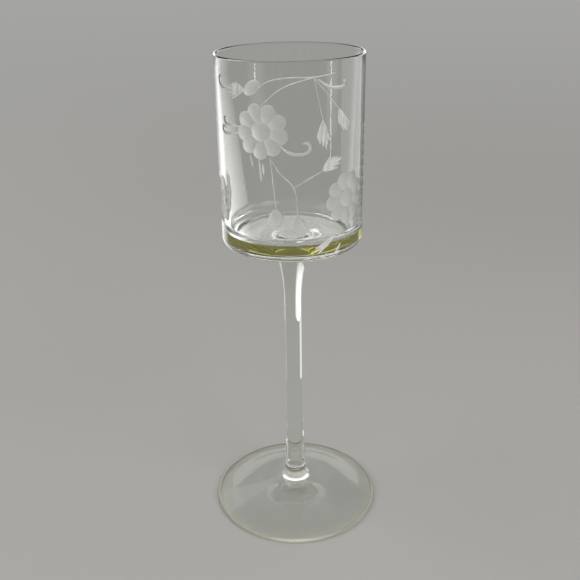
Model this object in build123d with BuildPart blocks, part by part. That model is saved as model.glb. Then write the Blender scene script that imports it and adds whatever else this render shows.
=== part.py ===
from build123d import *

import os
from math import asin, cos, degrees, sin

# Cordial glass: a straight-sided blown bowl on a slim drawn stem and a round foot.
# Three pieces of the same glass, fused while hot, so they meet face to face at two welds.
# The origin is the centre of the foot where it rests, +Z runs up the glass, sizes are in millimetres.

# Whole glass
glass_height = 152.0

# Bowl: a blown cylinder, thin at the lip and heavy at the floor, with a button drawn down to the stem
bowl_diameter = 43.0
bowl_height = 56.4
lip_thickness = 1.0
wall_thickness = 2.4
floor_thickness = 3.2
floor_dish = 0.3
well_radius = 4.5
heel_radius = 2.4
button_height = 4.5

# Stem: a drawn rod with a trumpet under the bowl and a slight flare above the foot
stem_diameter = 5.6
trumpet_length = 15.7
trumpet_radius = 60.0
flare_length = 26.0
flare_radius = 600.0
seam_round = 0.25

# Foot: a tent-shaped disc that sweeps up into a boss, standing on a flat ring round a kick
foot_diameter = 55.2
foot_edge_thickness = 1.3
tent_height = 7.9
tent_sag = 0.83
boss_height = 12.2
boss_base_diameter = 7.9
boss_fillet = 3.6
resting_ring_width = 2.8
kick_height = 3.0

# The upper weld: the trumpet's end and the button under the bowl are the same disc
bowl_radius = bowl_diameter / 2
bowl_base_z = glass_height - bowl_height
upper_weld_z = bowl_base_z - button_height
stem_radius = stem_diameter / 2
trumpet_angle = asin(trumpet_length / trumpet_radius)
upper_weld_radius = stem_radius + trumpet_radius * (1 - cos(trumpet_angle))

# The lower weld: the stem's flare and the top of the boss are the same disc
lower_weld_z = boss_height
flare_angle = asin(flare_length / flare_radius)
lower_weld_radius = stem_radius + flare_radius * (1 - cos(flare_angle))

# The button goes on with the trumpet's slope and sweeps out until it runs flat into the underside
meniscus_radius = button_height / (1 - sin(trumpet_angle))
meniscus_sweep = 90 - degrees(trumpet_angle)
button_slope = (sin(trumpet_angle), cos(trumpet_angle))

# Bowl: the outside goes up from the button over the heel to the lip, the inside comes down
# a thickening wall into a rounded well and a slightly dished floor
lip_z = glass_height - lip_thickness / 2
well_floor_z = bowl_base_z + floor_thickness
well_corner = (bowl_radius - wall_thickness, well_floor_z + floor_dish)
heel_corner = (bowl_radius, bowl_base_z)

with BuildPart() as bowl:
    with BuildSketch(Plane.XZ) as bowl_profile:
        with BuildLine():
            weld = Line((0, upper_weld_z), (upper_weld_radius, upper_weld_z))
            meniscus = JernArc(weld @ 1, button_slope, meniscus_radius, -meniscus_sweep)
            outside = Polyline(meniscus @ 1, heel_corner, (bowl_radius, lip_z))
            lip = ThreePointArc(
                outside @ 1,
                (bowl_radius - lip_thickness / 2, glass_height),
                (bowl_radius - lip_thickness, lip_z),
            )
            Line(lip @ 1, well_corner)
            floor = TangentArc((0, well_floor_z), well_corner, tangent=(1, 0))
            Line(floor @ 0, weld @ 0)
        make_face()
        fillet(bowl_profile.vertices().sort_by_distance(heel_corner)[0], heel_radius)
        fillet(bowl_profile.vertices().sort_by_distance(well_corner)[0], well_radius)
    revolve(axis=Axis.Z)

# Stem: one profile from the lower weld up through the straight waist to the trumpet's end
waist_bottom_z = lower_weld_z + flare_length
waist_top_z = upper_weld_z - trumpet_length
stem_seam_corner = (lower_weld_radius, lower_weld_z)

with BuildPart() as stem:
    with BuildSketch(Plane.XZ) as stem_profile:
        with BuildLine():
            flare = CenterArc(
                (stem_radius + flare_radius, waist_bottom_z), flare_radius, 180, degrees(flare_angle)
            )
            trumpet = CenterArc(
                (stem_radius + trumpet_radius, waist_top_z), trumpet_radius, 180, -degrees(trumpet_angle)
            )
            Line(flare @ 0, trumpet @ 0)
            Polyline(trumpet @ 1, (0, upper_weld_z), (0, lower_weld_z), flare @ 1)
        make_face()
        fillet(stem_profile.vertices().sort_by_distance(stem_seam_corner)[0], seam_round)
    revolve(axis=Axis.Z)

# Foot: the boss comes down from the lower weld and sweeps out into the tent, which sags a little below
# a cone on its way to the fire-polished edge; underneath, the kick leaves a flat ring to stand on
foot_radius = foot_diameter / 2
edge_radius = foot_edge_thickness / 2
edge_centre = foot_radius - edge_radius
kick_radius = edge_centre - resting_ring_width
boss_corner = (boss_base_diameter / 2, tent_height)
foot_seam_corner = (lower_weld_radius, lower_weld_z)

with BuildPart() as foot:
    with BuildSketch(Plane.XZ) as foot_profile:
        with BuildLine():
            kick = TangentArc((0, kick_height), (kick_radius, 0), tangent=(1, 0))
            ring = Line(kick @ 1, (edge_centre, 0))
            edge = ThreePointArc(
                ring @ 1, (foot_radius, edge_radius), (edge_centre, foot_edge_thickness)
            )
            tent = SagittaArc(edge @ 1, boss_corner, tent_sag)
            Polyline(tent @ 1, foot_seam_corner, (0, lower_weld_z), kick @ 0)
        make_face()
        fillet(foot_profile.vertices().sort_by_distance(boss_corner)[0], boss_fillet)
        fillet(foot_profile.vertices().sort_by_distance(foot_seam_corner)[0], seam_round)
    revolve(axis=Axis.Z)

# Each piece goes to its own file
os.makedirs("parts", exist_ok=True)

bowl.part.label = "bowl"
export_step(bowl.part, "parts/bowl.step")

stem.part.label = "stem"
export_step(stem.part, "parts/stem.step")

foot.part.label = "foot"
export_step(foot.part, "parts/foot.step")
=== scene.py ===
from math import asin, atan2, cos, degrees, hypot, pi, radians, sin, sqrt, tan

import bpy
from mathutils import Matrix, Vector


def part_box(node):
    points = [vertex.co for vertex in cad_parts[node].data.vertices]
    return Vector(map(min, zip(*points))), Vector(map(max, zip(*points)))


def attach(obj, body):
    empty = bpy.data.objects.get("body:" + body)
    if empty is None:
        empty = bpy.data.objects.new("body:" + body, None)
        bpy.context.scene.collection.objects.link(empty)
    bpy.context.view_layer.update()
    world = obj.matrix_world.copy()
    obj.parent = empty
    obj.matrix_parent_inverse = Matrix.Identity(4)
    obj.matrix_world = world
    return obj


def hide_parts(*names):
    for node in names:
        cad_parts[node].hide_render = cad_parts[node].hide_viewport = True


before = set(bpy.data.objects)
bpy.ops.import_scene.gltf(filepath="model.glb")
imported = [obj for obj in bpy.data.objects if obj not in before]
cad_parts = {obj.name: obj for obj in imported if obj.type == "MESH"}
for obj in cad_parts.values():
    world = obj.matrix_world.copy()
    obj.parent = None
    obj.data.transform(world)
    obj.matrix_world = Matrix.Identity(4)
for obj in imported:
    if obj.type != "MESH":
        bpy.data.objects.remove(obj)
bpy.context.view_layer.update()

# Foot: a round, tent-shaped disc of clear soda glass with a tall boss, dropped hot and spun out by hand.
# Its edge is fire-polished, and a shallow kick underneath leaves a flat ring to stand on, dulled by use.
# The edge and a collar round the boss are painted a pale cream. This painted light stands for the light that
# their form gathers.
mm = 0.001
turn_steps = 192
merge_distance = 0.001 * mm
lathe_crease = radians(40)
foot_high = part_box("foot")[1]
foot_radius = foot_high.x
boss_top = foot_high.z
foot_edge_radius = 0.65 * mm
foot_edge_centre = foot_radius - foot_edge_radius
resting_ring_width = 2.8 * mm
kick_radius = foot_edge_centre - resting_ring_width
kick_height = 3.0 * mm
tent_height = 7.9 * mm
tent_sag = 0.83 * mm
boss_base_radius = 3.95 * mm
boss_fillet = 3.6 * mm
stem_radius = 2.8 * mm
flare_length = 26.0 * mm
flare_radius = 600.0 * mm
flare_angle = asin(flare_length / flare_radius)
seam_radius = stem_radius + flare_radius * (1 - cos(flare_angle))
seam_round = 0.25 * mm


def arc(centre, radius, start, end, steps):
    """Points of a circular arc in the (radius, height) plane, from one angle to another, in degrees."""
    angles = [radians(start + (end - start) * i / steps) for i in range(steps + 1)]
    return [(centre[0] + radius * cos(a), centre[1] + radius * sin(a)) for a in angles]


def rounded(before, corner, after, radius, steps):
    """Points of the arc that rounds a corner of an outline off at that radius."""
    corner = Vector(corner)
    back = (Vector(before) - corner).normalized()
    ahead = (Vector(after) - corner).normalized()
    half = back.angle(ahead) / 2
    first = corner + back * radius / tan(half)
    last = corner + ahead * radius / tan(half)
    centre = corner + (back + ahead).normalized() * radius / sin(half)
    start = atan2(*reversed(first - centre))
    turn = (atan2(*reversed(last - centre)) - start + pi) % (2 * pi) - pi
    return arc(centre, radius, degrees(start), degrees(start + turn), steps)


def bend_centre(far_end, corner, big_centre, big_radius, radius):
    """Centre of the arc that leads from a straight stretch into a larger arc, near their corner."""
    line = (far_end - corner).normalized()
    inward = Vector((-line.y, line.x))
    if inward.dot(big_centre - corner) < 0:
        inward = -inward
    inset = corner + inward * radius - big_centre
    along = line.dot(inset)
    reach = sqrt(along**2 + (big_radius - radius) ** 2 - inset.length_squared)
    step = min(-along - reach, -along + reach, key=abs)
    return big_centre + inset + line * step


def heading(first, last):
    """The direction from one point of an outline to another, in degrees."""
    return degrees(atan2(last[1] - first[1], last[0] - first[0]))


def spread(first, last, steps):
    """Points along a straight stretch of an outline, without its ends."""
    a, b = Vector(first), Vector(last)
    return [tuple(a.lerp(b, i / steps)) for i in range(1, steps)]


def lathe(name, outline):
    """Draw an outline out of one vertex, point by point, and spin it round the glass's axis."""
    bpy.ops.object.select_all(action="DESELECT")
    bpy.ops.mesh.primitive_plane_add(size=mm)
    piece = bpy.context.object
    piece.name = piece.data.name = name
    bpy.ops.object.mode_set(mode="EDIT")
    bpy.ops.mesh.merge(type="CENTER")
    bpy.ops.transform.translate(value=(outline[0][0], 0, outline[0][1]))
    for (r0, z0), (r1, z1) in zip(outline, outline[1:]):
        bpy.ops.mesh.extrude_vertices_move(TRANSFORM_OT_translate={"value": (r1 - r0, 0, z1 - z0)})
    bpy.ops.mesh.select_all(action="SELECT")
    bpy.ops.mesh.spin(steps=turn_steps, angle=2 * pi, center=(0, 0, 0), axis=(0, 0, 1))
    bpy.ops.mesh.select_all(action="SELECT")
    bpy.ops.mesh.remove_doubles(threshold=merge_distance)
    bpy.ops.mesh.normals_make_consistent(inside=False)
    bpy.ops.object.mode_set(mode="OBJECT")
    bpy.ops.object.shade_smooth_by_angle(angle=lathe_crease)
    return piece


kick_sphere = (kick_radius**2 + kick_height**2) / (2 * kick_height)
kick_spread = degrees(asin(kick_radius / kick_sphere))
edge_top = Vector((foot_edge_centre, 2 * foot_edge_radius))
boss_corner = Vector((boss_base_radius, tent_height))
seam_corner = Vector((seam_radius, boss_top))
tent_chord = boss_corner - edge_top
tent_radius = ((tent_chord.length / 2) ** 2 + tent_sag**2) / (2 * tent_sag)
tent_up = Vector((tent_chord.y, -tent_chord.x)).normalized()
tent_centre = (edge_top + boss_corner) / 2 + tent_up * (tent_radius - tent_sag)
boss_centre = bend_centre(seam_corner, boss_corner, tent_centre, tent_radius, boss_fillet)
tent_end = heading(tent_centre, boss_centre)
boss_lean = heading(boss_corner, seam_corner)
tent = arc(tent_centre, tent_radius, heading(tent_centre, edge_top), tent_end, steps=16)
boss_bend = arc(boss_centre, boss_fillet, tent_end, boss_lean - 270, steps=16)
seam_bend = rounded(boss_corner, seam_corner, (0, boss_top), seam_round, steps=4)
foot_outline = (
    arc((0, kick_height - kick_sphere), kick_sphere, 90, 90 - kick_spread, steps=10)
    + arc((foot_edge_centre, foot_edge_radius), foot_edge_radius, -90, 90, steps=12)
    + tent[1:]
    + boss_bend[1:]
    + spread(boss_bend[-1], seam_bend[0], steps=4)
    + seam_bend
    + [(0, boss_top)]
)
foot = lathe("foot_glass", foot_outline)


def shader_group(name, takes, gives):
    """An empty node group with named inputs and outputs, and what is needed to fill it."""
    group = bpy.data.node_groups.new(name, "ShaderNodeTree")
    for socket, kind, value in takes:
        group.interface.new_socket(socket, in_out="INPUT", socket_type=kind).default_value = value
    for socket, kind in gives:
        group.interface.new_socket(socket, in_out="OUTPUT", socket_type=kind)
    inputs = group.nodes.new("NodeGroupInput").outputs
    outputs = group.nodes.new("NodeGroupOutput").inputs
    return group, inputs, outputs


def feed(tree, value, socket):
    """Link a socket to another one, or set it to a plain value."""
    if isinstance(value, bpy.types.NodeSocket):
        tree.links.new(value, socket)
    else:
        socket.default_value = value


def maths(tree, operation, first, second):
    """The result of one sum on two values."""
    node = tree.nodes.new("ShaderNodeMath")
    node.operation = operation
    feed(tree, first, node.inputs[0])
    feed(tree, second, node.inputs[1])
    return node.outputs[0]


def ramp(tree, value, low, high, kind="SMOOTHSTEP"):
    """A value that goes from 0 to 1 while another one goes from low to high."""
    node = tree.nodes.new("ShaderNodeMapRange")
    node.interpolation_type = kind
    feed(tree, value, node.inputs["Value"])
    feed(tree, low, node.inputs["From Min"])
    feed(tree, high, node.inputs["From Max"])
    return node.outputs[0]


def blend(tree, factor, first, second):
    """A colour that goes from the first to the second with a factor."""
    node = tree.nodes.new("ShaderNodeMix")
    node.data_type = "RGBA"
    feed(tree, factor, node.inputs["Factor"])
    feed(tree, first, node.inputs["A"])
    feed(tree, second, node.inputs["B"])
    return node.outputs["Result"]


def mottle(tree, place, fineness, detail):
    """Noise over a surface, with a fineness of its own each way."""
    stretch = tree.nodes.new("ShaderNodeMapping")
    feed(tree, place, stretch.inputs["Vector"])
    feed(tree, fineness, stretch.inputs["Scale"])
    noise = tree.nodes.new("ShaderNodeTexNoise")
    noise.inputs["Scale"].default_value = 1.0
    noise.inputs["Detail"].default_value = detail
    feed(tree, stretch.outputs[0], noise.inputs["Vector"])
    return noise.outputs["Fac"]


def dented(tree, height, depth, strength):
    """The normal of a surface that a height dents to a depth."""
    node = tree.nodes.new("ShaderNodeBump")
    node.inputs["Strength"].default_value = strength
    feed(tree, height, node.inputs["Height"])
    feed(tree, depth, node.inputs["Distance"])
    return node.outputs[0]


cord_fineness = (320, 320, 14)
cord_detail, cord_strength = 1.0, 1.0
scratch_fineness = (900, 900, 900)
scratch_detail = 4.0
scuff_roughness = 0.35


def soda_glass_group():
    """Shared look of the hand-made glass: tint that deepens where it is thick, cords, and a scuffed foot;
    its band also paints shade on the bowl's lip.
    """
    takes = (
        ("Clear Colour", "NodeSocketColor", (1, 1, 1, 1)),
        ("Thick Colour", "NodeSocketColor", (1, 1, 1, 1)),
        ("Band Low", "NodeSocketFloat", -1.0),
        ("Band High", "NodeSocketFloat", 1.0),
        ("Band Blur", "NodeSocketFloat", 0.1),
        ("Radius Clear", "NodeSocketFloat", -2.0),
        ("Radius Thick", "NodeSocketFloat", -1.0),
        ("Cord Depth", "NodeSocketFloat", 0.0),
        ("Scuff Height", "NodeSocketFloat", -1.0),
    )
    gives = (
        ("Base Color", "NodeSocketColor"),
        ("Roughness", "NodeSocketFloat"),
        ("Normal", "NodeSocketVector"),
    )
    group, inputs, outputs = shader_group("soda_glass", takes, gives)
    nodes, link = group.nodes, group.links.new
    place = nodes.new("ShaderNodeTexCoord").outputs["Object"]
    axes = nodes.new("ShaderNodeSeparateXYZ")
    link(place, axes.inputs[0])
    height = axes.outputs["Z"]
    flat_place = nodes.new("ShaderNodeVectorMath")
    flat_place.operation = "MULTIPLY"
    flat_place.inputs[1].default_value = (1, 1, 0)
    link(place, flat_place.inputs[0])
    radius = nodes.new("ShaderNodeVectorMath")
    radius.operation = "LENGTH"
    link(flat_place.outputs[0], radius.inputs[0])

    above_low = maths(group, "SUBTRACT", height, inputs["Band Low"])
    below_high = maths(group, "SUBTRACT", inputs["Band High"], height)
    within = maths(group, "MINIMUM", above_low, below_high)
    band = ramp(group, within, 0.0, inputs["Band Blur"])
    wide = ramp(group, radius.outputs["Value"], inputs["Radius Clear"], inputs["Radius Thick"])
    thick = maths(group, "MULTIPLY", band, wide)
    link(blend(group, thick, inputs["Clear Colour"], inputs["Thick Colour"]), outputs["Base Color"])

    cords = mottle(group, place, cord_fineness, cord_detail)
    link(dented(group, cords, inputs["Cord Depth"], cord_strength), outputs["Normal"])

    scratches = mottle(group, place, scratch_fineness, scratch_detail)
    worn = maths(group, "LESS_THAN", height, inputs["Scuff Height"])
    scuff = maths(group, "MULTIPLY", scratches, worn)
    link(maths(group, "MULTIPLY", scuff, scuff_roughness), outputs["Roughness"])
    return group


mark_contrast = (0.35, 0.65)
mark_detail, mark_strength = 3.0, 0.6


def grinding_and_glow_marks_group():
    """Shared look of worked glass and of the painted glow on the foot: fine marks that shade and roughen it,
    with a grain for each way.
    """
    takes = (
        ("Colour", "NodeSocketColor", (1, 1, 1, 1)),
        ("Dark Colour", "NodeSocketColor", (0, 0, 0, 1)),
        ("Grain", "NodeSocketVector", (1000, 1000, 1000)),
        ("Mark Depth", "NodeSocketFloat", 0.0),
    )
    gives = (("Base Color", "NodeSocketColor"), ("Normal", "NodeSocketVector"))
    group, inputs, outputs = shader_group("grinding_and_glow_marks", takes, gives)
    link = group.links.new
    place = group.nodes.new("ShaderNodeTexCoord").outputs["Object"]
    marks = mottle(group, place, inputs["Grain"], mark_detail)
    shade = ramp(group, marks, *mark_contrast, kind="LINEAR")
    link(blend(group, shade, inputs["Dark Colour"], inputs["Colour"]), outputs["Base Color"])
    link(dented(group, marks, inputs["Mark Depth"], mark_strength), outputs["Normal"])
    return group


soda_glass = soda_glass_group()
grinding_and_glow_marks = grinding_and_glow_marks_group()
glass_ior = 1.5
clear_tint = (0.90, 0.912, 0.892, 1)
rim_tint = (0.95, 0.96, 0.90, 1)


def glass(name, group, varies, roughness, clearness, looks):
    """A glass material, with a shared look for each of its sockets that varies over the surface."""
    material = bpy.data.materials.new(name)
    material.use_nodes = True
    nodes, link = material.node_tree.nodes, material.node_tree.links.new
    shader = nodes["Principled BSDF"]
    shader.inputs["Base Color"].default_value = clear_tint
    shader.inputs["Roughness"].default_value = roughness
    shader.inputs["IOR"].default_value = glass_ior
    shader.inputs["Transmission Weight"].default_value = clearness
    look = nodes.new("ShaderNodeGroup")
    look.node_tree = group
    for socket, value in looks.items():
        look.inputs[socket.replace("_", " ").title()].default_value = value
    for socket in varies:
        link(look.outputs[socket], shader.inputs[socket])
    return material


def clear_glass(name, varies, **looks):
    """Polished glass that light goes straight through."""
    return glass(name, soda_glass, varies, roughness=0.0, clearness=1.0, looks=looks)


def milky_and_painted_glow_glass(name, roughness, clearness, **looks):
    """Glass that scatters light where a wheel has worked it, and glass painted pale as painted light where
    its form gathers light.
    """
    return glass(name, grinding_and_glow_marks, ("Base Color", "Normal"), roughness, clearness, looks)


def weld_glass():
    """The fused joint inside the glass, where two pieces run into one and nothing shows."""
    material = bpy.data.materials.new("hot_weld")
    material.use_nodes = True
    nodes = material.node_tree.nodes
    nodes.remove(nodes["Principled BSDF"])
    clear = nodes.new("ShaderNodeBsdfTransparent")
    material.node_tree.links.new(clear.outputs[0], nodes["Material Output"].inputs["Surface"])
    return material


hot_weld = weld_glass()
weld_slot, edge_glow_slot, collar_glow_slot = 1, 2, 3
rim_start, rim_full = 4.0 * mm, 1.0 * mm
cord_depth = 0.01 * mm
scuff_height = 0.12 * mm
foot_material = clear_glass(
    "foot_glass",
    ("Base Color", "Roughness", "Normal"),
    clear_colour=clear_tint,
    thick_colour=rim_tint,
    radius_clear=foot_radius - rim_start,
    radius_thick=foot_radius - rim_full,
    cord_depth=cord_depth,
    scuff_height=scuff_height,
)


def dress(piece, material, weld_heights):
    """Give a piece its glass, and the clear weld where it is fused to its neighbour."""
    piece.data.materials.append(material)
    piece.data.materials.append(hot_weld)
    for face in piece.data.polygons:
        heights = [piece.data.vertices[v].co.z for v in face.vertices]
        for weld in weld_heights:
            if max(abs(z - weld) for z in heights) < merge_distance:
                face.material_index = weld_slot


# Painted light: the pale cream colour of the foot's edge and of the collar stands for the light that their
# rounded form gathers. The glass there isn't milky.
glow_grain = (3000, 3000, 3000)
glow_mark_depth = 0.02 * mm
edge_painted_glow = milky_and_painted_glow_glass(
    "edge_painted_glow",
    roughness=0.1,
    clearness=0.6,
    colour=(0.95, 0.92, 0.82, 1),
    dark_colour=(0.88, 0.85, 0.74, 1),
    grain=glow_grain,
    mark_depth=glow_mark_depth,
)
collar_painted_glow = milky_and_painted_glow_glass(
    "collar_painted_glow",
    roughness=0.1,
    clearness=0.65,
    colour=(1.0, 0.99, 0.91, 1),
    dark_colour=(0.95, 0.94, 0.85, 1),
    grain=glow_grain,
    mark_depth=glow_mark_depth,
)
collar_low = 7.9 * mm
collar_high = boss_top - 1.7 * mm
dress(foot, foot_material, [boss_top])
foot.data.materials.append(edge_painted_glow)
foot.data.materials.append(collar_painted_glow)
# The foot's edge and the collar round the boss take the painted glow.
for face in foot.data.polygons:
    if hypot(face.center.x, face.center.y) > foot_edge_centre:
        face.material_index = edge_glow_slot
    elif collar_low < face.center.z < collar_high:
        face.material_index = collar_glow_slot
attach(foot, "root")
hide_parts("foot")

# Stem: a solid rod drawn out of the same glass, thinnest in its upper half, opening like a trumpet under
# the bowl. It is fused to the boss below, where a fine seam shows, and to the bowl above.
stem_low, stem_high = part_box("stem")
trumpet_length = 15.7 * mm
trumpet_radius = 60.0 * mm
trumpet_spread = degrees(asin(trumpet_length / trumpet_radius))
waist_low = stem_low.z + flare_length
waist_high = stem_high.z - trumpet_length
flare_centre = (stem_radius + flare_radius, waist_low)
flare = arc(flare_centre, flare_radius, 180 + degrees(flare_angle), 180, steps=12)
trumpet_centre = (stem_radius + trumpet_radius, waist_high)
trumpet = arc(trumpet_centre, trumpet_radius, 180, 180 - trumpet_spread, steps=16)
seam_start = rounded((0, stem_low.z), (seam_radius, stem_low.z), flare[1], seam_round, steps=4)
stem_outline = (
    [(0, stem_low.z)]
    + seam_start
    + flare[1:]
    + spread(flare[-1], trumpet[0], steps=10)
    + trumpet
    + [(0, stem_high.z)]
)
stem = lathe("stem_glass", stem_outline)
stem_material = clear_glass("stem_glass", ("Normal",), cord_depth=cord_depth)
dress(stem, stem_material, [stem_low.z, stem_high.z])
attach(stem, "root")
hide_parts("stem")

# Bowl: a straight-sided cup of the same glass, blown with a thin wall, a heavy flat base and a rounded well.
# Its lip is cracked off and fire-polished round, and the thick base shows the green of the glass.
bowl_low, bowl_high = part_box("bowl")
bowl_radius = bowl_high.x
lip_top = bowl_high.z
button_height = 4.5 * mm
bowl_base = bowl_low.z + button_height
lip_radius = 0.5 * mm
wall_thickness = 2.4 * mm
floor_thickness = 3.2 * mm
floor_dish = 0.3 * mm
well_radius = 4.5 * mm
heel_radius = 2.4 * mm
trumpet_end = trumpet[-1][0]
meniscus_radius = button_height / (1 - sin(radians(trumpet_spread)))
meniscus_end = trumpet_end + meniscus_radius * cos(radians(trumpet_spread))
lip_centre = (bowl_radius - lip_radius, lip_top - lip_radius)
lip_inside = Vector((bowl_radius - 2 * lip_radius, lip_centre[1]))
well_corner = Vector((bowl_radius - wall_thickness, bowl_base + floor_thickness + floor_dish))
floor_sphere = (well_corner.x**2 + floor_dish**2) / (2 * floor_dish)
floor_centre = Vector((0, bowl_base + floor_thickness + floor_sphere))
well_centre = bend_centre(lip_inside, well_corner, floor_centre, floor_sphere, well_radius)
floor_end = heading(floor_centre, well_centre)
wall_lean = heading(well_corner, lip_inside)
heel_centre = (bowl_radius - heel_radius, bowl_base + heel_radius)
meniscus_centre = (meniscus_end, bowl_base - meniscus_radius)
meniscus = arc(meniscus_centre, meniscus_radius, 180 - trumpet_spread, 90, steps=12)
heel = arc(heel_centre, heel_radius, -90, 0, steps=10)
lip = arc(lip_centre, lip_radius, 0, 180, steps=14)
well = arc(well_centre, well_radius, wall_lean - 90, floor_end, steps=16)
floor = arc(floor_centre, floor_sphere, floor_end, -90, steps=8)
bowl_outline = (
    [(0, bowl_low.z)]
    + meniscus
    + spread(meniscus[-1], heel[0], steps=6)
    + heel
    + spread(heel[-1], lip[0], steps=14)
    + lip
    + spread(lip[-1], well[0], steps=14)
    + well
    + floor[1:]
)
bowl = lathe("bowl_glass", bowl_outline)
olive_tint = (0.17, 0.155, 0.013, 1)
olive_low, olive_high = bowl_base + 2.3 * mm, bowl_base + 6.1 * mm
olive_blur = 0.6 * mm
olive_start, olive_full = 1.3 * mm, 0.8 * mm
bowl_cord_depth = 0.005 * mm
bowl_material = clear_glass(
    "bowl_glass",
    ("Base Color", "Normal"),
    clear_colour=clear_tint,
    thick_colour=olive_tint,
    band_low=olive_low,
    band_high=olive_high,
    band_blur=olive_blur,
    radius_clear=bowl_radius - olive_start,
    radius_thick=bowl_radius - olive_full,
    cord_depth=bowl_cord_depth,
)
beyond = 1.0
# Painted shade: the band round the lip is darkened to stand for the dark line that the rounded lip shows;
# the glass itself isn't darker there. Below the heel line the glass is tinted darker.
lip_painted_shade = (0.62, 0.63, 0.60, 1)
lip_band = (lip_top - 0.4 * mm, beyond)
heel_tint = (0.36, 0.36, 0.28, 1)
heel_band = (-beyond, bowl_base + 2.2 * mm)
line_blur = 0.2 * mm
bowl_tree = bowl_material.node_tree
look = bowl_tree.nodes["Group"]
for tint, (low, high) in ((lip_painted_shade, lip_band), (heel_tint, heel_band)):
    more = bowl_tree.nodes.new("ShaderNodeGroup")
    more.node_tree = soda_glass
    more.inputs["Thick Colour"].default_value = tint
    more.inputs["Band Low"].default_value = low
    more.inputs["Band High"].default_value = high
    more.inputs["Band Blur"].default_value = line_blur
    bowl_tree.links.new(look.outputs["Base Color"], more.inputs["Clear Colour"])
    look = more
geometry = bowl_tree.nodes.new("ShaderNodeNewGeometry")
way_in = blend(bowl_tree, geometry.outputs["Backfacing"], look.outputs["Base Color"], clear_tint)
bowl_tree.links.new(way_in, bowl_tree.nodes["Principled BSDF"].inputs["Base Color"])
dress(bowl, bowl_material, [bowl_low.z])
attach(bowl, "root")
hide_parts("bowl")

# Engraving: a flower spray ground into the front of the cold bowl with small wheels, in satin petals and
# bells, fans of narrow strokes and fine grooves, with two more flowers and a fern low at the sides. It is
# set out flat, in mm: along the wall from the front of the glass, and up from what the glass stands on.
polished_slot, satin_slot, stroke_slot = 0, 2, 3
flowers = ((-8.5, 133.7), (17.3, 113.5), (-31.0, 110.5))
flower_eye = (5.8, 5.5)
petal_count = 9
petal_ring = 5.1
petal_size = (5.2, 4.7)
first_petal_degrees = 67
petal_depth, eye_depth, stroke_depth = 0.36, 0.46, 0.22
stroke_width, line_width, hook_width = 0.8, 0.34, 1.1
bell_width = 1.7
line_bite, hook_bite = 0.55, 0.8
groove_end = 0.3
buds = (
    ((8.7, 136.6), ((6.9, 131.4), (7.7, 129.9), (9.7, 128.4), (10.6, 130.8))),
    ((13.7, 139.0), ((13.9, 134.6), (15.7, 132.8), (17.4, 132.4), (18.2, 134.4))),
    ((8.5, 122.6), ((11.0, 126.4), (13.4, 126.2), (15.1, 125.5), (13.7, 122.9))),
    ((-13.3, 144.4), ((-16.4, 146.2), (-18.7, 145.3), (-19.5, 143.1), (-17.9, 141.6))),
    ((13.1, 103.6), ((6.3, 99.9), (7.2, 98.5))),
)
bells = (
    ((1.3, 110.1), ((-0.1, 105.6), (1.4, 104.2), (2.8, 103.9), (4.5, 105.2))),
    ((-4.7, 112.3), ((-6.6, 108.3), (-4.6, 106.6), (-2.5, 108.3))),
)
leaves = (((-13.2, 143.4), (-8.6, 146.8), 3.4),)
strokes = (
    ((-11.9, 127.2), (-11.3, 123.8), 0.7),
    ((-9.2, 126.2), (-8.7, 119.8), 0.7),
    ((-8.1, 125.0), (-8.0, 121.8), 0.6),
    ((-15.1, 119.4), (-14.6, 117.6), 0.6),
    ((14.9, 100.4), (12.9, 97.9), 0.8),
)
lines = (
    ((-13.6, 144.2), (-11.0, 144.0), (-6.6, 146.7), (-1.6, 147.8), (6.0, 147.8), (12.3, 148.4)),
    ((-8.3, 140.6), (-2.3, 145.3), (1.9, 146.8), (6.0, 147.7)),
    ((6.1, 147.6), (8.6, 136.4)),
    ((6.3, 147.4), (13.8, 138.8)),
    ((-5.6, 125.9), (-3.5, 122.6), (0.3, 118.4), (1.3, 109.9)),
    ((0.4, 118.4), (4.3, 120.6), (8.6, 122.7)),
    ((-6.0, 126.5), (-5.2, 118.2), (-4.7, 112.1)),
    ((30.6, 132.6), (31.0, 116.0), (30.6, 100.4)),
)
hooks = (
    ((7.2, 147.2), (10.6, 145.0), (13.3, 144.6), (15.3, 144.8), (15.9, 145.6), (15.1, 146.3)),
    ((-3.6, 130.4), (-0.6, 128.1), (2.1, 127.6), (4.1, 128.0), (5.0, 129.3), (4.2, 130.6), (2.9, 130.5)),
    ((-17.6, 144.6), (-20.5, 144.3), (-23.2, 144.6), (-24.3, 145.9), (-23.4, 147.1), (-21.8, 147.2)),
    ((-15.0, 134.4), (-19.0, 134.5), (-21.4, 134.7), (-22.0, 135.8), (-21.0, 136.5)),
    ((-15.0, 132.6), (-19.8, 132.0), (-22.4, 132.0), (-23.1, 133.0), (-22.0, 133.7), (-21.1, 133.1)),
)
fern_stem = 30.8
fern_top, fern_step = 131.0, 1.55
fern_count = 20
fern_reach, fern_rise, fern_width = 2.0, 1.3, 0.75
wheel_bite = 0.6
cut_crease = radians(20)
height_slack, wall_slack = 0.01 * mm, 0.02 * mm
spray = []


def finish_cut(cutter, slot):
    """File a cutter with the spray, its faces smooth and marked with the finish that it leaves."""
    for number in range(slot + 1):
        cutter.data.materials.append(None)
    for face in cutter.data.polygons:
        face.material_index = slot
        face.use_smooth = True
    spray.append(cutter)


def scoop(middle, length, width, depth, lean, slot):
    """One touch of a round-edged wheel: an ellipsoid let into the flat wall to its depth, at a lean."""
    half_depth = depth / (1 - wheel_bite)
    grown = 1 / sqrt(1 - wheel_bite**2)
    bpy.ops.mesh.primitive_uv_sphere_add(
        segments=24,
        ring_count=16,
        radius=1,
        location=(middle[0] * mm, -wheel_bite * half_depth * mm, middle[1] * mm),
        rotation=(pi / 2, -lean, 0),
        scale=(length / 2 * grown * mm, width / 2 * grown * mm, half_depth * mm),
    )
    bpy.ops.object.transform_apply()
    finish_cut(bpy.context.object, slot)


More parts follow.
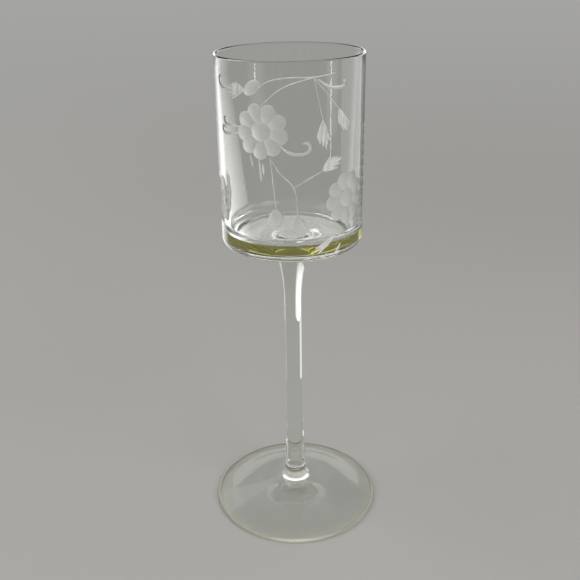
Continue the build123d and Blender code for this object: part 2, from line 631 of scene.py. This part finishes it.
def stroke(start, end, width, depth=stroke_depth, slot=stroke_slot):
    """A narrow leaf-shaped cut from one point to another."""
    middle = ((start[0] + end[0]) / 2, (start[1] + end[1]) / 2)
    lean = atan2(end[1] - start[1], end[0] - start[0])
    scoop(middle, hypot(end[0] - start[0], end[1] - start[1]), width, depth, lean, slot)


def fan(neck, tips, width, slot):
    """Strokes from one neck to each of its tips, and to the middles between them."""
    between = [tuple((a + b) / 2 for a, b in zip(*pair)) for pair in zip(tips, tips[1:])]
    for tip in tips + tuple(between):
        stroke(neck, tip, width, stroke_depth, slot)


def groove(points, width, bite, slot):
    """A fine groove through its points, thinner at both ends, cut by a round rod laid along the wall."""
    radius = width * bite
    outside = sqrt(1 - (0.5 / bite) ** 2)
    end_radius = outside + groove_end * (1 - outside)
    bpy.ops.curve.primitive_bezier_curve_add(location=(0, 0, 0))
    line = bpy.context.object
    route = line.data.splines[0]
    route.bezier_points.add(len(points) - 2)
    for knot, (along, height) in zip(route.bezier_points, points):
        knot.co = (along * mm, -radius * outside * mm, height * mm)
        knot.handle_left_type = knot.handle_right_type = "AUTO"
        knot.radius = 1.0
    route.bezier_points[0].radius = end_radius
    route.bezier_points[-1].radius = end_radius
    line.data.bevel_depth = radius * mm
    line.data.bevel_resolution = 2
    line.data.resolution_u = 8
    line.data.use_fill_caps = True
    bpy.ops.object.convert(target="MESH")
    bpy.ops.object.mode_set(mode="EDIT")
    bpy.ops.mesh.select_all(action="SELECT")
    bpy.ops.mesh.remove_doubles(threshold=merge_distance)
    bpy.ops.mesh.normals_make_consistent(inside=False)
    bpy.ops.object.mode_set(mode="OBJECT")
    finish_cut(bpy.context.object, slot)


def wrapped(point):
    """Where a point of the flat drawing goes on the round wall."""
    angle = point.x / bowl_radius
    reach = bowl_radius - point.y
    return Vector((reach * sin(angle), -reach * cos(angle), point.z))


bpy.ops.object.select_all(action="DESELECT")
for middle in flowers:
    for number in range(petal_count):
        petal_angle = radians(first_petal_degrees + number * 360 / petal_count)
        petal_middle = (middle[0] + petal_ring * cos(petal_angle), middle[1] + petal_ring * sin(petal_angle))
        scoop(petal_middle, *petal_size, petal_depth, petal_angle, satin_slot)
    scoop(middle, *flower_eye, eye_depth, 0, satin_slot)
for start, end, width in leaves:
    stroke(start, end, width, petal_depth, satin_slot)
for neck, tips in buds:
    fan(neck, tips, stroke_width, stroke_slot)
for neck, tips in bells:
    fan(neck, tips, bell_width, satin_slot)
for start, end, width in strokes:
    stroke(start, end, width)
for points in lines:
    groove(points, line_width, line_bite, stroke_slot)
for points in hooks:
    groove(points, hook_width, hook_bite, satin_slot)
for number in range(fern_count):
    way = 1 if number % 2 else -1
    knot = (fern_stem, fern_top - number * fern_step)
    stroke(knot, (knot[0] + way * fern_reach, knot[1] + fern_rise), fern_width)


def clean_cuts():
    """Merge the doubled points that the cuts leave in the bowl, and split their many-sided faces."""
    bpy.ops.object.mode_set(mode="EDIT")
    bpy.ops.mesh.select_all(action="SELECT")
    bpy.ops.mesh.remove_doubles(threshold=merge_distance)
    bpy.ops.mesh.dissolve_degenerate(threshold=merge_distance)
    bpy.ops.mesh.delete_loose()
    bpy.ops.mesh.select_all(action="DESELECT")
    bpy.ops.mesh.select_face_by_sides(number=4, type="GREATER")
    bpy.ops.mesh.quads_convert_to_tris(ngon_method="BEAUTY")
    bpy.ops.object.mode_set(mode="OBJECT")


def sharpen_cuts():
    """Keep a crisp edge wherever two finishes of the bowl meet."""
    finishes = {}
    for face in bowl.data.polygons:
        for ends in face.edge_keys:
            finishes.setdefault(ends, set()).add(face.material_index)
    for edge in bowl.data.edges:
        if len(finishes[edge.key]) > 1:
            edge.use_edge_sharp = True


def round_wall():
    """Let the polished wall between the cuts shade as the true cylinder that it is."""
    low = bowl_base + heel_radius - height_slack
    high = lip_top - lip_radius + height_slack
    reach = bowl_radius - wall_slack
    normals = []
    for face in bowl.data.polygons:
        corners = [bowl.data.vertices[v].co for v in face.vertices]
        on_wall = all(low < c.z < high and hypot(c.x, c.y) > reach for c in corners)
        polished = face.material_index == polished_slot
        for c in corners:
            normals.append(Vector((c.x, c.y, 0)).normalized() if on_wall and polished else Vector())
    bowl.data.normals_split_custom_set(normals)


satin_petals = milky_and_painted_glow_glass(
    "satin_petals",
    roughness=0.45,
    clearness=0.66,
    colour=(0.88, 0.89, 0.87, 1),
    dark_colour=(0.76, 0.77, 0.75, 1),
    grain=(2500, 2500, 2500),
    mark_depth=0.03 * mm,
)
bright_strokes = milky_and_painted_glow_glass(
    "bright_strokes",
    roughness=0.5,
    clearness=0.25,
    colour=(0.95, 0.96, 0.94, 1),
    dark_colour=(0.68, 0.69, 0.67, 1),
    grain=(1600, 1600, 260),
    mark_depth=0.06 * mm,
)
bowl.data.materials.append(satin_petals)
bowl.data.materials.append(bright_strokes)
wheels = bpy.data.collections.new("wheels")
for cutter in spray:
    for vertex in cutter.data.vertices:
        vertex.co = wrapped(vertex.co)
    wheels.objects.link(cutter)
cutting = bowl.modifiers.new("engraving", "BOOLEAN")
cutting.operation = "DIFFERENCE"
cutting.solver = "MANIFOLD"
cutting.operand_type = "COLLECTION"
cutting.collection = wheels
bpy.ops.object.select_all(action="DESELECT")
bowl.select_set(True)
bpy.context.view_layer.objects.active = bowl
bpy.ops.object.modifier_apply(modifier="engraving")
for cutter in spray:
    bpy.data.objects.remove(cutter)
bpy.data.collections.remove(wheels)
clean_cuts()
bpy.ops.object.shade_smooth_by_angle(angle=cut_crease)
sharpen_cuts()
round_wall()

# Floor: a plain pale ground that the glass stands on and throws its shadow on. It is matt, and far from
# the glass it melts into the light of the room, so that no hard horizon shows.
room_light = (0.38, 0.377, 0.368, 1)
floor_colour = (0.57, 0.562, 0.54, 1)
floor_roughness = 0.8
floor_gap = 0.03 * mm
floor_radius = 8.0
fade_start = 0.3
bpy.ops.object.select_all(action="DESELECT")
bpy.ops.mesh.primitive_circle_add(
    vertices=96, radius=floor_radius, fill_type="NGON", location=(0, 0, -floor_gap)
)
ground = bpy.context.object
ground.name = "floor"
ground_material = bpy.data.materials.new("floor")
ground_material.use_nodes = True
ground_tree = ground_material.node_tree
ground_nodes, ground_link = ground_tree.nodes, ground_tree.links.new
matt = ground_nodes["Principled BSDF"]
matt.inputs["Base Color"].default_value = floor_colour
matt.inputs["Roughness"].default_value = floor_roughness
matt.inputs["Specular IOR Level"].default_value = 0.0
far_glow = ground_nodes.new("ShaderNodeEmission")
far_glow.inputs["Color"].default_value = room_light
spot = ground_nodes.new("ShaderNodeTexCoord")
away = ground_nodes.new("ShaderNodeVectorMath")
away.operation = "LENGTH"
ground_link(spot.outputs["Object"], away.inputs[0])
nearness = maths(ground_tree, "DIVIDE", fade_start, away.outputs["Value"])
melt = ground_nodes.new("ShaderNodeMixShader")
ground_link(ramp(ground_tree, nearness, 0.0, 1.0), melt.inputs["Fac"])
ground_link(far_glow.outputs[0], melt.inputs[1])
ground_link(matt.outputs[0], melt.inputs[2])
ground_link(melt.outputs[0], ground_nodes["Material Output"].inputs["Surface"])
ground.data.materials.append(ground_material)

# Lights: an even pale room, a large softbox on the left and two in front, and white cards and strips that
# show only in the glass. Those meant as reflections aren't seen through it, and most have a grid, which
# narrows their beam to the part of the glass that they are for.
world = bpy.data.worlds.new("room")
bpy.context.scene.world = world
world.use_nodes = True
world.node_tree.nodes["Background"].inputs["Color"].default_value = room_light


def softbox(name, place, target, size, glow, only_in_glass=False, beam=pi):
    """A flat lamp of a given brightness, turned to face its target, with a grid where its beam is narrow."""
    width, height = size
    data = bpy.data.lights.new(name, "AREA")
    data.shape = "RECTANGLE"
    data.size = width
    data.size_y = height
    data.spread = beam
    data.energy = glow * pi * width * height * (1 - (beam / 2) / tan(beam / 2))
    lamp = bpy.data.objects.new(name, data)
    lamp.location = place
    lamp.rotation_euler = (Vector(target) - Vector(place)).to_track_quat("-Z", "Y").to_euler()
    lamp.visible_camera = False
    lamp.visible_diffuse = not only_in_glass
    bpy.context.scene.collection.objects.link(lamp)
    return lamp


pane_grid = radians(34)
card_grid = radians(44)
lip_grid = radians(70)
lower_stem, foot_side = (0, 0, 0.04), (0, 0, 0.05)
bowl_middle, spray_middle = (0, 0, 0.12), (0, 0, 0.125)
left_wall = (-0.0205, 0, 0.125)
left_lip, right_lip = (-bowl_radius, 0, lip_top), (bowl_radius, 0, lip_top)
back_aim = (0, 0, 0.30)
left_light = softbox("left_light", (-0.8, 0.1, 0.75), foot_side, (0.8, 0.8), 1.6)
left_light.visible_glossy = False
right_light = softbox("right_light", (0.5, -0.5, 0.45), bowl_middle, (0.5, 0.5), 2.5)
right_light.visible_glossy = False
front_light = softbox("front_light", (-0.1, -0.8, 0.35), bowl_middle, (0.8, 0.5), 0.4)
front_light.visible_glossy = False
front_light.visible_transmission = False
softbox("left_card", (-0.0935, 0.135, 0.0625), left_wall, (0.13, 0.14), 1.5, True, card_grid)
softbox("stem_card", (-0.06, 0.05, 0.04), lower_stem, (0.04, 0.08), 0.6, True)
back_card = softbox("back_card", (0, 0.7, 0.30), back_aim, (0.7, 0.28), 1.25, True)
back_card.visible_glossy = False
reflected = [
    softbox("right_card", (0.33, 0.10, 0.12), bowl_middle, (0.35, 0.25), 1.1, True),
    softbox("left_strip", (-0.234, -0.188, 0.106), spray_middle, (0.008, 0.014), 14, True, pane_grid),
    softbox("right_strip", (0.26, -0.149, 0.083), spray_middle, (0.008, 0.06), 10, True, pane_grid),
    softbox("left_pane", (-0.234, -0.188, 0.096), spray_middle, (0.16, 0.035), 1.5, True, pane_grid),
    softbox("right_pane", (0.267, -0.137, 0.09), spray_middle, (0.1, 0.045), 1.6, True, pane_grid),
    softbox("lip_left", (-0.074, 0.118, 0.163), left_lip, (0.10, 0.045), 3.0, True, lip_grid),
    softbox("lip_right", (0.09, 0.11, 0.163), right_lip, (0.15, 0.045), 3.6, True, lip_grid),
]
for card in reflected:
    card.visible_transmission = False

# Camera: in front of the glass and a little above its lip, looking down on it as the picture does. Its
# place, turn and lens are those that put the lip's and the foot's ellipses where the picture has them.
lens_pixels = 793.05
picture_pixels = 580
camera_data = bpy.data.cameras.new("camera")
camera_data.sensor_width = 36
camera_data.lens = lens_pixels * camera_data.sensor_width / picture_pixels
camera_data.clip_start = 0.01
camera = bpy.data.objects.new("camera", camera_data)
camera.location = (-3.382 * mm, -230.866 * mm, 180.996 * mm)
camera_pitch, camera_yaw, camera_roll = radians(23.963), radians(0.608), radians(-0.941)
turned = Matrix.Rotation(-camera_yaw, 3, "Z") @ Matrix.Rotation(pi / 2 - camera_pitch, 3, "X")
camera.rotation_euler = (turned @ Matrix.Rotation(camera_roll, 3, "Z")).to_euler()
bpy.context.scene.collection.objects.link(camera)
bpy.context.scene.camera = camera
bpy.context.scene.view_settings.view_transform = "Standard"
glass_bounces, mirror_bounces = 24, 12
cycles = bpy.context.scene.cycles
cycles.max_bounces = glass_bounces
cycles.transmission_bounces = glass_bounces
cycles.transparent_max_bounces = glass_bounces
cycles.glossy_bounces = mirror_bounces
cycles.blur_glossy = 0.0
